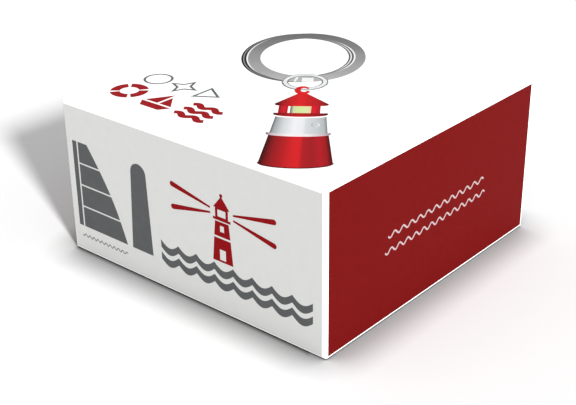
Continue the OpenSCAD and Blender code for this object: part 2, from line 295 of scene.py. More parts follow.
def turned_steel(name, node, colour):
    """Spring steel, brushed in circles about the middle of a flat ring node."""
    low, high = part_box(node)
    middle = [(a + b) / 2 for a, b in zip(low, high)]
    g = Graph(name, metallic=1.0)
    arm = g.node("ShaderNodeVectorMath", {0: g.here, 1: middle}, operation="SUBTRACT").outputs[0]
    flat = g.node("ShaderNodeVectorMath", {0: arm, 1: (1, 1, 0)}, operation="MULTIPLY").outputs[0]
    radius = g.node("ShaderNodeVectorMath", {0: flat}, operation="LENGTH").outputs["Value"]
    height = g.node("ShaderNodeSeparateXYZ", {0: arm}).outputs[2]
    rings = g.node("ShaderNodeCombineXYZ", {0: radius, 1: height}).outputs[0]
    lines = g.noise(0.07, 3, where=rings)
    broad = g.noise(0.5, 2, where=rings)
    wear_and_painted_shade = g.noise(2.4, 3)
    dark = [c * 0.72 for c in colour[:3]] + [1]
    g.colour(g.mix(g.spread(broad, 0.35, 0.65), dark, colour))
    streaks = g.spread(lines, 0.3, 0.7, 0.2, 0.38)
    g.roughness(g.math("ADD", streaks, g.spread(wear_and_painted_shade, 0.4, 0.7, 0.0, 0.08)))
    g.bumps((lines, 0.004))
    return g.material


def lamp_resin():
    """Pale yellow-green cast resin, cloudy inside."""
    g = Graph("lamp_resin", transmission_weight=0.35, ior=1.49, coat_weight=0.4)
    g.colour(tinted(g, linear(226, 234, 170), 1.5, 0.08))
    g.roughness(g.spread(g.noise(0.7), 0.3, 0.7, 0.16, 0.3))
    g.bumps((g.noise(1.2, 2), 0.01))
    return g.material


MATERIALS = {
    "board": grey_board(),
    "wrap_white": coated_paper("wrap_white", linear(246, 246, 245), 0.006),
    "lining_white": plain_paper("lining_white", linear(238, 238, 235)),
    "wrap_dark": linen_paper("wrap_dark", linear(72, 74, 75)),
    "tape": kraft_tape(),
    "foam": cut_foam(),
    "flock": flocked_card(),
    "red_enamel": enamel("red_enamel", linear(196, 22, 26)),
    "silver_metal": plated_metal("silver_metal", linear(232, 233, 235), 0.1, 0.2),
    "ring_steel": turned_steel("ring_steel", "split_ring", linear(200, 201, 203)),
    "screw_steel": plated_metal("screw_steel", linear(196, 197, 200), 0.22, 0.34),
    "lamp_resin": lamp_resin(),
}


# ------------------------------------------------------- the CAD nodes' finish

EDGE_ROUND = {  # radius of each node's softened edges
    "base_wrap": 0.25,
    "lid_board": 0.15,
    "base_board": 0.15,
    "foam_insert": 0.25,
    "insert_card": 0.12,
    "lower_tower": 0.2,
    "base_plug": 0.12,
    "upper_tower": 0.07,
    "gallery_deck": 0.3,
    "lantern_lamp": 0.3,
    "lantern_cage": 0.12,
    "roof_cap": 0.2,
    "tie_screw": 0.1,
    "screw_washer": 0.08,
}
SLOT_OF = {part["node"]: part["material_slot"] for part in frame["record"]["subparts"]}

for name, piece in nodes.items():
    piece.data.materials.clear()
    piece.data.materials.append(MATERIALS[SLOT_OF[name]])
    for polygon in piece.data.polygons:
        polygon.use_smooth = True
    weld = piece.modifiers.new("weld", "WELD")
    weld.merge_threshold = 0.001 * MM
    if name in EDGE_ROUND:
        bevel = piece.modifiers.new("soft_edges", "BEVEL")
        bevel.width = EDGE_ROUND[name] * MM
        bevel.segments = 3
        bevel.limit_method = "ANGLE"
        bevel.angle_limit = math.radians(35)
        bevel.use_clamp_overlap = True
        bevel.harden_normals = True
    shade = piece.modifiers.new("even_shading", "WEIGHTED_NORMAL")
    shade.keep_sharp = True


# ----------------------------------------------------- the lid's covering paper

PAPER = (HIGH[0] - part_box("lid_board")[1][0]) / MM
TURNED_IN = 12.0  # how far it is turned in over the lid's lower edge
BOARD_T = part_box("lid_board")[1][0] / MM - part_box("lid_lining")[1][0] / MM - PAPER
FOLD_R = 0.45  # roundness of the lid's edges
FOLD_STEPS = 6
TURN_STEPS = 4  # facets of the bend where the paper turns up inside the skirt
FLAP_TAPER = 0.7  # how much each flap narrows at either end towards its free edge
FLAP_CLEAR = 0.02  # gap between a flap and what it is folded against
CUT_ROUND = 0.04  # softening of the paper's cut edges


def flap_profile():
    """One turned-in flap from below outwards: (distance from the axis, height, half length)."""
    foot, out = LOW[2] / MM, SIDE / 2 - PAPER - FLAP_CLEAR
    inner = SIDE / 2 - PAPER - BOARD_T - PAPER
    line = [(out, foot), (inner + PAPER, foot)]
    for i in range(1, TURN_STEPS + 1):
        t = math.pi / 2 * i / TURN_STEPS
        line.append((inner + PAPER * (1 - math.sin(t)), foot + PAPER * (1 - math.cos(t))))
    line = [(away, z, away - FLAP_CLEAR) for away, z in line]
    line.append((inner, foot + PAPER + TURNED_IN, inner - FLAP_TAPER))
    return line


def lid_skin():
    """The lid's paper: folds rounded over the board, and four flaps turned in below."""
    build = bmesh.new()
    bmesh.ops.create_cube(build, size=1.0)
    for v in build.verts:
        v.co = (v.co.x * SIDE * MM, v.co.y * SIDE * MM, LOW[2] + (v.co.z + 0.5) * SKIRT * MM)
    under = [f for f in build.faces if f.normal.z < -0.5]
    bmesh.ops.delete(build, geom=under, context="FACES_ONLY")
    folds = [e for e in build.edges if not e.is_boundary]
    bmesh.ops.bevel(
        build,
        geom=folds,
        offset=FOLD_R * MM,
        segments=FOLD_STEPS,
        profile=0.5,
        affect="EDGES",
        clamp_overlap=False,
    )
    for quarter in range(4):
        turn = Matrix.Rotation(math.pi / 2 * quarter, 3, "Z")
        rows = [
            [build.verts.new(turn @ Vector((side * half, -out, z)) * MM) for side in (1, -1)]
            for out, z, half in flap_profile()
        ]
        for near, far in zip(rows, rows[1:]):
            build.faces.new((near[0], near[1], far[1], far[0]))
    build.normal_update()
    mesh = bpy.data.meshes.new("lid_paper")
    build.to_mesh(mesh)
    build.free()
    mesh.materials.append(MATERIALS["wrap_white"])
    for polygon in mesh.polygons:
        polygon.use_smooth = True
    skin = bpy.data.objects.new("lid_paper", mesh)
    bpy.context.scene.collection.objects.link(skin)
    thick = skin.modifiers.new("paper", "SOLIDIFY")
    thick.thickness = PAPER * MM
    thick.offset = -1
    edges = skin.modifiers.new("cut_edges", "BEVEL")
    edges.width = CUT_ROUND * MM
    edges.segments = 2
    edges.limit_method = "ANGLE"
    edges.angle_limit = math.radians(60)
    skin.modifiers.new("even_shading", "WEIGHTED_NORMAL")
    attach(skin, "lid")
    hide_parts("lid_wrap")


lid_skin()


# ------------------------------------------------------------- printed shapes

FILM = 0.02  # thickness of one printed layer
SUNK = 0.01  # how deep the lowest layer sits in the paper


def face(right, up, corner):
    """A frame on one face of the lid: x along right, y along up, z out of the paper."""
    right, up = Vector(right), Vector(up)
    columns = Matrix((right, up, right.cross(up))).transposed().to_4x4()
    return Matrix.Translation(Vector(corner)) @ columns


TOP = face((1, 0, 0), (0, 1, 0), (LOW[0], LOW[1], HIGH[2]))
FRONT = face((1, 0, 0), (0, 0, 1), (LOW[0], LOW[1], LOW[2]))
RIGHT = face((0, 1, 0), (0, 0, 1), (HIGH[0], LOW[1], LOW[2]))
BACK = face((-1, 0, 0), (0, 0, 1), (HIGH[0], HIGH[1], LOW[2]))
LEFT = face((0, -1, 0), (0, 0, 1), (LOW[0], HIGH[1], LOW[2]))


def arc(cx, cy, rx, ry, start, end, steps=48):
    """Points along an ellipse, from one angle to another in degrees."""
    turns = [math.radians(start + (end - start) * i / steps) for i in range(steps + 1)]
    return [(cx + rx * math.cos(t), cy + ry * math.sin(t)) for t in turns]


def ellipse(cx, cy, rx, ry, steps=96):
    return arc(cx, cy, rx, ry, 0, 360, steps)[:-1]


def box(x0, y0, x1, y1):
    return [(x0, y0), (x1, y0), (x1, y1), (x0, y1)]


def ribbon(line, widths):
    """The outline of a line drawn with a width, or with one width at each of its points."""
    if not isinstance(widths, (list, tuple)):
        widths = [widths] * len(line)
    left, right = [], []
    for i, ((x, y), width) in enumerate(zip(line, widths)):
        ahead, behind = line[min(i + 1, len(line) - 1)], line[max(i - 1, 0)]
        along = Vector((ahead[0] - behind[0], ahead[1] - behind[1])).normalized()
        across = Vector((-along.y, along.x)) * width / 2
        left.append((x + across.x, y + across.y))
        right.append((x - across.x, y - across.y))
    return left + right[::-1]


def rolling(x0, x1, y, height, thick, count, swell=0.08, steps=16):
    """The outline of a band of rolling waves with pointed crests, its middle at y.

    The whole band swells up towards its middle.
    """
    upper, lower = [], []
    for i in range(count * steps + 1):
        x = x0 + (x1 - x0) * i / (count * steps)
        crest = height * (0.5 - math.sin(math.pi * (i % steps) / steps))
        crest += swell * math.sin(math.pi * i / (count * steps))
        upper.append((x, y + crest + thick / 2))
        lower.append((x, y + crest - thick / 2))
    return upper + lower[::-1]


def ripple(x0, x1, y, height, count, steps=16):
    """A sine line with that many periods."""
    total = count * steps
    return [
        (x0 + (x1 - x0) * i / total, y + height / 2 * math.sin(2 * math.pi * i / steps))
        for i in range(total + 1)
    ]


def sagging(x0, x1, y, sag, steps=32):
    """The visible front half of a round edge seen from a little above, left to right."""
    middle, half = (x0 + x1) / 2, (x1 - x0) / 2
    return [
        (middle - half * math.cos(math.pi * i / steps), y - sag * math.sin(math.pi * i / steps))
        for i in range(steps + 1)
    ]


def printed(name, where, shapes, layer, material):
    """A printed shape on the lid, as closed films of ink.

    where is the frame that the shape is drawn in. shapes is a list of (outline, holes), in
    millimetres. A higher layer covers a lower one.
    """
    mesh = bpy.data.meshes.new(name)
    build = bmesh.new()
    base, top = -SUNK, FILM * (layer + 1)
    for outline, holes in shapes:
        loops = [outline, *holes]
        lower, upper = [], []
        for z, store in ((base, lower), (top, upper)):
            for loop in loops:
                store.append([build.verts.new((x * MM, y * MM, z * MM)) for x, y in loop])
        for side, z in ((lower, base), (upper, top)):
            flat = [v for loop in side for v in loop]
            lines = [[Vector((x, y, 0)) for x, y in loop] for loop in loops]
            for three in tessellate_polygon(lines):
                build.faces.new([flat[i] for i in three])
        for under, over in zip(lower, upper):
            for i in range(len(under)):
                j = (i + 1) % len(under)
                build.faces.new((under[i], under[j], over[j], over[i]))
    bmesh.ops.recalc_face_normals(build, faces=build.faces)
    build.to_mesh(mesh)
    build.free()
    mesh.materials.append(material)
    piece = bpy.data.objects.new(name, mesh)
    bpy.context.scene.collection.objects.link(piece)
    piece.matrix_world = where
    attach(piece, "lid")
    return piece


INK = {
    "red": coated_paper("ink_red", lit(FRONT_LIGHT, 141, 15, 20), 0.04),
    "bold": coated_paper("ink_bold_red", lit(TOP_LIGHT, 162, 24, 31), 0.04),
    "side": coated_paper("ink_side_red", lit(SIDE_LIGHT, 136, 20, 20), 0.03),
    "panel": coated_paper("ink_panel_grey", lit(FRONT_LIGHT, 218, 218, 216), 0.01),
    "dark": coated_paper("ink_dark_grey", lit(FRONT_LIGHT, 92, 94, 95), 0.04),
    "fine": coated_paper("ink_fine_grey", lit(FRONT_LIGHT, 122, 124, 125), 0.04),
    "thin": coated_paper("ink_thin_grey", lit(TOP_LIGHT, 108, 114, 112), 0.04),
    "light": coated_paper("ink_light", lit(SIDE_LIGHT, 232, 206, 206)),
}


def panel(name, where, sides, ink):
    """A face's printed background, inside white margins (left, right, bottom, top)."""
    left, right, bottom, top = sides
    outline = box(left, bottom, SIDE - right, SKIRT - top)
    return printed(name, where, [(outline, [])], 0, ink)


panel("print_front_panel", FRONT, (0.35, 1.1, 0.15, 1.45), INK["panel"])
panel("print_right_panel", RIGHT, (0.7, 0.7, 0.3, 1.1), INK["side"])
panel("print_back_panel", BACK, (0.7, 0.7, 0.3, 1.1), INK["panel"])
panel("print_left_panel", LEFT, (0.7, 0.7, 0.3, 1.1), INK["side"])


def from_top(points):
    """Points whose y counts down from a face's top edge, in that face's frame."""
    return [(x, SKIRT - y) for x, y in points]


# the front's big dark sign: a sail, a spar buoy and two rows of waves
SIGN_TOP, SIGN_FOOT = 10.3, 32.8
MAST_LEFT, MAST_W, SAIL_GAP = 2.3, 1.5, 0.5
SAIL_TOP_W, SAIL_FOOT_W, SAIL_BELLY = 3.2, 15.4, 1.3
SAIL_SEAM, SAIL_CLOTHS = 0.4, 4


def sail_edge(y):
    """How far the sail reaches from its mast at that height."""
    down = (y - SIGN_TOP) / (SIGN_FOOT - SIGN_TOP)
    straight = SAIL_TOP_W + (SAIL_FOOT_W - SAIL_TOP_W) * down
    return MAST_LEFT + MAST_W + SAIL_GAP + straight + SAIL_BELLY * math.sin(math.pi * down)


def sail_cloth(y0, y1, steps=8):
    """One cloth of the sail, between two seams."""
    edge = [y0 + (y1 - y0) * i / steps for i in range(steps + 1)]
    near = MAST_LEFT + MAST_W + SAIL_GAP
    return from_top([(near, y1), (near, y0)] + [(sail_edge(y), y) for y in edge])


cloth_h = (SIGN_FOOT - SIGN_TOP + SAIL_SEAM) / SAIL_CLOTHS
sail = [
    (sail_cloth(SIGN_TOP + i * cloth_h, SIGN_TOP + (i + 1) * cloth_h - SAIL_SEAM), [])
    for i in range(SAIL_CLOTHS)
]
sail.append((from_top(box(MAST_LEFT, SIGN_TOP, MAST_LEFT + MAST_W, SIGN_FOOT)), []))
SPAR_LEFT, SPAR_RIGHT, SPAR_TAPER = 21.5, 28.5, 1.0
SPAR_DOME = 2.4  # height of its round top
spar_middle, dome_foot = (SPAR_LEFT + SPAR_RIGHT) / 2, SIGN_TOP + SPAR_DOME
dome_half = (SPAR_RIGHT - SPAR_LEFT) / 2 - SPAR_TAPER
spar = from_top([
    (SPAR_LEFT, SIGN_FOOT),
    (SPAR_RIGHT, SIGN_FOOT),
    (SPAR_RIGHT - SPAR_TAPER, dome_foot),
    *arc(spar_middle, dome_foot, dome_half, SPAR_DOME, 0, -180, 24)[1:-1],
    (SPAR_LEFT + SPAR_TAPER, dome_foot),
])
WAVES_LEFT, WAVES_RIGHT, WAVES_TOP, WAVE_COUNT = 31.4, 76.5, 29.1, 8
WAVE_THICK, WAVE_STEP, WAVE_HEIGHT, WAVE_LINES = 1.85, 3.1, 1.5, 2
waves = []
for row in range(WAVE_LINES):
    middle = SKIRT - WAVES_TOP - row * WAVE_STEP
    band = rolling(WAVES_LEFT, WAVES_RIGHT, middle, WAVE_HEIGHT, WAVE_THICK, WAVE_COUNT)
    waves.append((band, []))
printed("print_front_sail", FRONT, sail, 1, INK["dark"])
printed("print_front_spar", FRONT, [(spar, [])], 1, INK["dark"])
printed("print_front_waves", FRONT, waves, 1, INK["dark"])
FINE_LEFT, FINE_RIGHT, FINE_Y, FINE_HEIGHT, FINE_COUNT, FINE_W = 3.1, 19.4, 35.4, 0.7, 11, 0.26
fine_line = ripple(FINE_LEFT, FINE_RIGHT, FINE_Y, FINE_HEIGHT, FINE_COUNT)
fine_shape = [(ribbon(from_top(fine_line), FINE_W), [])]
printed("print_front_fine_line", FRONT, fine_shape, 1, INK["fine"])

# the front's small red lighthouse and its beams
SIGN_X = 51.1  # its middle
BALL_R, BALL_Y = 0.45, 10.4
# each part as (half width at its top, top, half width at its foot, foot)
SIGN_ROOF = (0.0, 10.6, 2.4, 13.5)
SIGN_LANTERN, SIGN_LANTERN_WINDOW = (1.9, 13.5, 1.9, 15.9), (1.2, 13.9, 1.2, 15.6)
SIGN_GALLERY = (2.6, 15.9, 2.6, 16.5)
SIGN_UPPER, SIGN_UPPER_WINDOW = (2.0, 16.8, 2.4, 20.4), (0.6, 17.7, 0.6, 19.2)
SIGN_LOWER, SIGN_DOOR = (2.45, 20.9, 3.0, 26.7), (0.9, 23.6, 0.9, 26.2)


def sign_part(part):
    """A part of the front's lighthouse, tapered evenly to both sides of its middle."""
    half_top, top, half_foot, foot = part
    upper = [(SIGN_X - half_top, top), (SIGN_X + half_top, top)] if half_top else [(SIGN_X, top)]
    return from_top(upper + [(SIGN_X + half_foot, foot), (SIGN_X - half_foot, foot)])


tower_sign = [
    (sign_part(SIGN_ROOF), []),
    (from_top(ellipse(SIGN_X, BALL_Y, BALL_R, BALL_R, 24)), []),
    (sign_part(SIGN_LANTERN), [sign_part(SIGN_LANTERN_WINDOW)]),
    (sign_part(SIGN_GALLERY), []),
    (sign_part(SIGN_UPPER), [sign_part(SIGN_UPPER_WINDOW)]),
    (sign_part(SIGN_LOWER), [sign_part(SIGN_DOOR)]),
]
printed("print_front_lighthouse", FRONT, tower_sign, 1, INK["red"])


def beam(start, end, thin, thick, steps=12):
    """A light beam that widens to a round end."""
    (x0, y0), (x1, y1) = start, end
    along = math.atan2(y1 - y0, x1 - x0)
    across = (-math.sin(along), math.cos(along))
    near = [(x0 + across[0] * s, y0 + across[1] * s) for s in (-thin / 2, thin / 2)]
    turn = [along + math.pi / 2 - math.pi * i / steps for i in range(steps + 1)]
    far = [(x1 + thick / 2 * math.cos(t), y1 + thick / 2 * math.sin(t)) for t in turn]
    return near + far


BEAM_NEAR, BEAM_FAR, BEAM_THIN, BEAM_THICK = 3.4, 15.0, 0.45, 1.3
BEAM_Y, NEAR_RISE, FAR_RISE = 14.7, 0.6, 2.8  # the lamp's height, and how far beams leave it
beams = []
for side in (-1, 1):
    for rise in (-1, 1):
        start = (SIGN_X + side * BEAM_NEAR, BEAM_Y + rise * NEAR_RISE)
        end = (SIGN_X + side * BEAM_FAR, BEAM_Y + rise * FAR_RISE)
        beams.append((from_top(beam(start, end, BEAM_THIN, BEAM_THICK)), []))
printed("print_front_beams", FRONT, beams, 1, INK["red"])

# two fine wavy lines on the red side
SIDE_LINES = [(21.2, 59.4, 19.2, 12), (20.2, 60.3, 22.9, 13)]  # left, right, y, periods
SIDE_LINE_HEIGHT, SIDE_LINE_W = 1.1, 0.42
side_lines = [
    (ribbon(from_top(ripple(x0, x1, y, SIDE_LINE_HEIGHT, count)), SIDE_LINE_W), [])
    for x0, x1, y, count in SIDE_LINES
]
printed("print_right_lines", RIGHT, side_lines, 1, INK["light"])

# the lid's row of bold red signs: a ring buoy, a boat and waves
ROW_LOW, ROW_HIGH, ROW_LEFT, ROW_STEP, SIGN_W = 8.4, 17.7, 4.6, 11.5, 9.3
row_mid = (ROW_LOW + ROW_HIGH) / 2
buoy_x, boat_x, wave_x = [ROW_LEFT + i * ROW_STEP for i in range(3)]


def buoy(cx, cy, outer, inner, gap=12):
    """Four sectors of a ring, with a gap in degrees between them."""
    sectors = []
    for start in range(0, 360, 90):
        a, b = start + gap / 2 - 45, start + 90 - gap / 2 - 45
        sectors.append((arc(cx, cy, outer, outer, a, b, 24)
                        + arc(cx, cy, inner, inner, b, a, 24), []))
    return sectors


red_row = buoy(buoy_x + SIGN_W / 2, row_mid, SIGN_W / 2, SIGN_W / 4)
MAST_AT, SAIL_LIFT, HULL_TOP, HULL_IN = 0.46, 3.1, 2.4, 1.7
BACK_SAIL_IN, FRONT_SAIL_IN, FRONT_SAIL_GAP, FRONT_SAIL_DROP = 0.4, 0.5, 0.7, 1.7
mast_x, sail_low = boat_x + SIGN_W * MAST_AT, ROW_LOW + SAIL_LIFT
front_x, boat_end, deck_y = mast_x + FRONT_SAIL_GAP, boat_x + SIGN_W, ROW_LOW + HULL_TOP
back_sail = [(boat_x + BACK_SAIL_IN, sail_low), (mast_x, sail_low), (mast_x, ROW_HIGH)]
front_sail = [
    (front_x, sail_low),
    (boat_end - FRONT_SAIL_IN, sail_low),
    (front_x, ROW_HIGH - FRONT_SAIL_DROP),
]
hull = [
    (boat_x, deck_y),
    (boat_x + HULL_IN, ROW_LOW),
    (boat_end - HULL_IN, ROW_LOW),
    (boat_end, deck_y),
]
red_row += [(back_sail, []), (front_sail, []), (hull, [])]
WAVE_ROWS, ROW_WAVE_LIFT, ROW_WAVE_STEP = 3, 1.5, 3.15
ROW_WAVE_HEIGHT, ROW_WAVE_COUNT, ROW_WAVE_LINE = 1.2, 2, 1.75
for i in range(WAVE_ROWS):
    wave_y = ROW_LOW + ROW_WAVE_LIFT + i * ROW_WAVE_STEP
    line = ripple(wave_x, wave_x + SIGN_W, wave_y, ROW_WAVE_HEIGHT, ROW_WAVE_COUNT)
    red_row.append((ribbon(line, ROW_WAVE_LINE), []))
printed("print_top_bold_signs", TOP, red_row, 0, INK["bold"])

# the row of fine grey signs behind it: a ring, a compass star and a pennant, in outline
LINE = 0.62
THIN_LOW, THIN_HIGH = 18.9, 27.2
thin_mid, thin_r = (THIN_LOW + THIN_HIGH) / 2, (THIN_HIGH - THIN_LOW) / 2


def outline_of(points, line=LINE):
    """A closed polygon drawn as a line: the polygon and the same one shrunk, as its hole."""
    cx = sum(x for x, _ in points) / len(points)
    cy = sum(y for _, y in points) / len(points)
    inward = min(
        abs((cx - x0) * (y1 - y0) - (cy - y0) * (x1 - x0)) / math.hypot(x1 - x0, y1 - y0)
        for (x0, y0), (x1, y1) in zip(points, points[1:] + points[:1])
    )
    keep = 1 - line / inward
    return points, [[(cx + (x - cx) * keep, cy + (y - cy) * keep) for x, y in points]]


def star(cx, cy, outer, inner, points=4):
    """A star with one point upward."""
    turns = [math.pi * i / points for i in range(points * 2)]
    radii = [inner if i % 2 else outer for i in range(points * 2)]
    return [(cx + r * math.sin(t), cy + r * math.cos(t)) for r, t in zip(radii, turns)]


RING_SIGN_X, RING_SIGN_R = 8.9, 3.7
STAR_SIGN_X, STAR_EXTRA, STAR_IN = 17.7, 0.3, 1.9
FLAG_LEFT, FLAG_RIGHT, FLAG_INSET = 23.6, 29.6, 0.4
flag_low, flag_high = THIN_LOW + FLAG_INSET, THIN_HIGH - FLAG_INSET
thin_row = [
    outline_of(ellipse(RING_SIGN_X, thin_mid, RING_SIGN_R, RING_SIGN_R)),
    outline_of(star(STAR_SIGN_X, thin_mid, thin_r + STAR_EXTRA, STAR_IN)),
    outline_of([(FLAG_LEFT, flag_low), (FLAG_RIGHT, thin_mid), (FLAG_LEFT, flag_high)]),
]
printed("print_top_thin_signs", TOP, thin_row, 0, INK["thin"])


# ------------------------------------------- the key ring's picture on the lid

# The picture is drawn upright about the middle of the lid, then turned by this much.
PICTURE_TURN = math.atan2(3, 4)


def turned(points):
    """Points of the upright picture, in the lid's frame."""
    c, s = math.cos(PICTURE_TURN), math.sin(PICTURE_TURN)
    return [(SIDE / 2 + x * c - y * s, SIDE / 2 + x * s + y * c) for x, y in points]


def upright(graph):
    """Separate x and y sockets of the upright picture's coordinates, in metres."""
    spot = graph.node(
        "ShaderNodeMapping",
        {
            "Vector": graph.here,
            "Location": (SIDE / 2 * MM, SIDE / 2 * MM, 0),
            "Rotation": (0, 0, PICTURE_TURN),
        },
        vector_type="TEXTURE",
    ).outputs[0]
    made = graph.node("ShaderNodeSeparateXYZ", {0: spot})
    return made.outputs[0], made.outputs[1]


def art(name, colour_from):
    """Printed paper whose colour comes from colour_from(graph)."""
    g = Graph(name, ior=1.45, specular_ior_level=PAPER_GLOSS)
    g.colour(colour_from(g))
    g.roughness(g.spread(g.noise(0.6), 0.3, 0.7, 0.5, 0.62))
    g.bumps((g.noise(0.18, 2), 0.003))
    return g.material


def across(graph, top, bottom):
    """0 at a tapered body's left side and 1 at its right.

    top and bottom are (left, right, height) in millimetres.
    """
    x, y = upright(graph)
    down = graph.spread(y, top[2] * MM, bottom[2] * MM)
    left = graph.spread(down, 0, 1, top[0] * MM, bottom[0] * MM)
    right = graph.spread(down, 0, 1, top[1] * MM, bottom[1] * MM)
    run = graph.math("SUBTRACT", x, left)
    return graph.math("DIVIDE", run, graph.math("SUBTRACT", right, left), clamp=True)


def shaded(name, top, bottom, stops, smooth=False):
    """A picture of a round body, shaded from its left side to its right."""
    def colour(g):
        share = across(g, top, bottom)
        return g.ramp(share, [(place, lit(TOP_LIGHT, *rgb)) for place, rgb in stops], smooth)
    return art(name, colour)


# Stops of (place, screen colour) across each part of the picture. The first two are its ends.
RED_STOPS = [
    (0.0, (44, 6, 8)), (1.0, (70, 8, 11)), (0.05, (98, 15, 18)), (0.12, (142, 24, 28)),
    (0.3, (186, 28, 33)), (0.42, (214, 33, 36)), (0.53, (222, 34, 37)), (0.59, (178, 28, 35)),
    (0.72, (164, 27, 32)), (0.84, (184, 26, 36)), (0.93, (160, 24, 28)), (0.97, (112, 15, 19)),
]
SILVER_STOPS = [
    (0.0, (92, 96, 98)), (1.0, (128, 131, 133)), (0.05, (166, 171, 173)),
    (0.2, (214, 218, 219)), (0.4, (243, 245, 247)), (0.56, (240, 241, 244)),
    (0.62, (220, 223, 225)), (0.8, (206, 210, 212)), (0.94, (186, 191, 193)),
]
# Places in the upright picture: x from its middle, y downwards negative. A level edge is
# (left, right, y), and a pair is (left, right).
TOWER_TOP, TOWER_FOOT = (-5.47, 7.6, -29.1), (-6.53, 8.87, -44.0)
BAND_TOP, BAND_FOOT = (-4.67, 6.8, -18.5), (-5.33, 7.33, -28.0)
RIM, RIM_Y, RIM_T = (-6.07, 8.0), -27.7, 1.15
DECK, DECK_Y, DECK_T = (-5.27, 7.07), -16.5, 0.7
CAGE, CAGE_TOP, CAGE_FOOT = (-4.27, 5.27), -11.3, -17.2
WINDOW = (-2.13, 3.2, -12.2, -16.7)  # left, right, top, foot
LAMP_LEFT = -1.6
EAVES, EAVES_Y, EAVES_T = (-5.4, 7.1), -10.9, 0.55
NECK, NECK_Y = (-0.35, 1.85), -4.2
HOOK = (0.65, -1.9)  # middle of the hook's outer edge
HOOK_EYE = (HOOK[0] + 0.35, HOOK[1] + 0.05)  # middle of its eye
HOOK_R, HOOK_EYE_R = (1.85, 2.55), (0.85, 1.35)  # half widths and half heights
HOOK_START, HOOK_END = 28, 340  # degrees, which leave it open to one side
# how far each round edge bows down in front, at the part's top and foot
TOWER_SAG, BAND_SAG, RIM_SAG, DECK_SAG = (1.0, 2.7), (0.9, 1.1), (1.1, 1.3), (0.1, 1.5)
EAVES_SAG = 0.7
EAVES_IN = 0.2  # how much shorter the eaves' lower edge is at either end
FOOT_LINE = 0.4


def body(top, bottom, sags):
    """The outline of a round tapered body seen from a little above."""
    return sagging(*top, sags[0]) + sagging(*bottom, sags[1])[::-1]


red_art = shaded("picture_red", TOWER_TOP, TOWER_FOOT, RED_STOPS)
ROOF_STOPS = [
    (0.0, (52, 6, 9)), (1.0, (78, 9, 12)), (0.07, (104, 14, 17)), (0.16, (166, 22, 27)),
    (0.32, (204, 29, 33)), (0.48, (226, 33, 37)), (0.62, (204, 30, 34)), (0.8, (186, 26, 30)),
    (0.93, (148, 19, 23)),
]
POST_STOPS = [
    (0.0, (132, 14, 22)), (1.0, (150, 17, 27)), (0.05, (188, 22, 34)), (0.13, (216, 27, 46)),
    (0.22, (190, 24, 34)), (0.5, (206, 29, 32)), (0.86, (220, 28, 44)), (0.95, (196, 23, 36)),
]
DECK_STOPS = [
    (0.0, (70, 8, 12)), (1.0, (86, 10, 14)), (0.12, (142, 18, 24)), (0.5, (192, 25, 31)),
    (0.88, (140, 17, 23)),
]
RIM_STOPS = [
    (0.0, (118, 108, 112)), (1.0, (150, 140, 145)), (0.08, (206, 190, 196)),
    (0.35, (250, 246, 247)), (0.65, (244, 240, 242)), (0.92, (198, 180, 186)),
]
LAMP_STOPS = [
    (0.0, (96, 100, 84)), (1.0, (240, 216, 160)), (0.07, (150, 156, 124)),
    (0.16, (214, 224, 172)), (0.45, (214, 238, 158)), (0.8, (228, 232, 178)),
]
roof_art = shaded("picture_roof_red", (-5.4, 7.1, -4), (-5.4, 7.1, -19), ROOF_STOPS)
post_art = shaded("picture_post_red", (*CAGE, CAGE_TOP), (*CAGE, CAGE_FOOT), POST_STOPS)
deck_art = shaded("picture_deck_red", (*DECK, -16), (*DECK, -20), DECK_STOPS)
silver_art = shaded("picture_silver", BAND_TOP, BAND_FOOT, SILVER_STOPS)
rim_art = shaded("picture_rim", (*RIM, -27), (*RIM, -30), RIM_STOPS)
lamp_art = shaded("picture_lamp", (LAMP_LEFT, WINDOW[1], -12), (LAMP_LEFT, WINDOW[1], -17),
                  LAMP_STOPS)


def picture(name, shapes, layer, material):
    shapes = [(turned(outline), [turned(hole) for hole in holes]) for outline, holes in shapes]
    return printed("picture_" + name, TOP, shapes, layer, material)


# the split ring, seen turned: its two turns show as stripes along its edge
RING_OUT, RING_IN = (0.5, 22.9, 15.05, 19.1), (0.8, 22.83, 12.2, 14.9)  # x, y, half sizes


def ring_shape(shift):
    cx, cy, rx, ry = RING_OUT
    ix, iy, irx, iry = RING_IN
    return [(ellipse(cx + shift, cy, rx, ry, 160), [ellipse(ix + shift, iy, irx, iry, 160)])]


CLOSED_GREY = 112  # screen grey of the ring's edge where its stripes close up
CLOSE_START, CLOSE_END = 0.42, 0.8  # where they do, in parts of the ring's half height
STREAKS = 26.0  # about how many streaks run across a radian of the ring


def brushed(stops, way, strength, closing=True):
    """Steel whose grey follows stops (place, screen grey), with streaks across the band.

    way is 0 to run from the picture's left to its right, or 1 from its foot to its top. With
    closing, it fades to one grey towards the ring's top and foot.
    """
    def colour(g):
        middle, half = RING_OUT[way] * MM, RING_OUT[2 + way] * MM
        x, y = upright(g)
        run = g.spread((x, y)[way], middle - half, middle + half)
        grey = g.ramp(run, [(at, lit(TOP_LIGHT, v, v, v)) for at, v in stops])
        if closing:
            rise = g.math("ABSOLUTE", g.math("SUBTRACT", y, RING_OUT[1] * MM))
            half_high = RING_OUT[3]
            fade = g.spread(rise, half_high * CLOSE_START * MM, half_high * CLOSE_END * MM)
            grey = g.mix(fade, grey, lit(TOP_LIGHT, *[CLOSED_GREY] * 3))
        turn = g.math("ARCTAN2", g.math("SUBTRACT", y, RING_OUT[1] * MM), x)
        spot = g.node("ShaderNodeCombineXYZ", {0: turn}).outputs[0]
        streak = g.node("ShaderNodeTexNoise", {"Vector": spot, "Scale": STREAKS, "Detail": 4.0})
        light = g.spread(streak.outputs["Fac"], 0.3, 0.7, 1 - strength, 1 + strength)
        even = g.node("ShaderNodeCombineXYZ", {0: light, 1: light, 2: light}).outputs[0]
        return g.mix(1.0, grey, even, "MULTIPLY")
    return colour


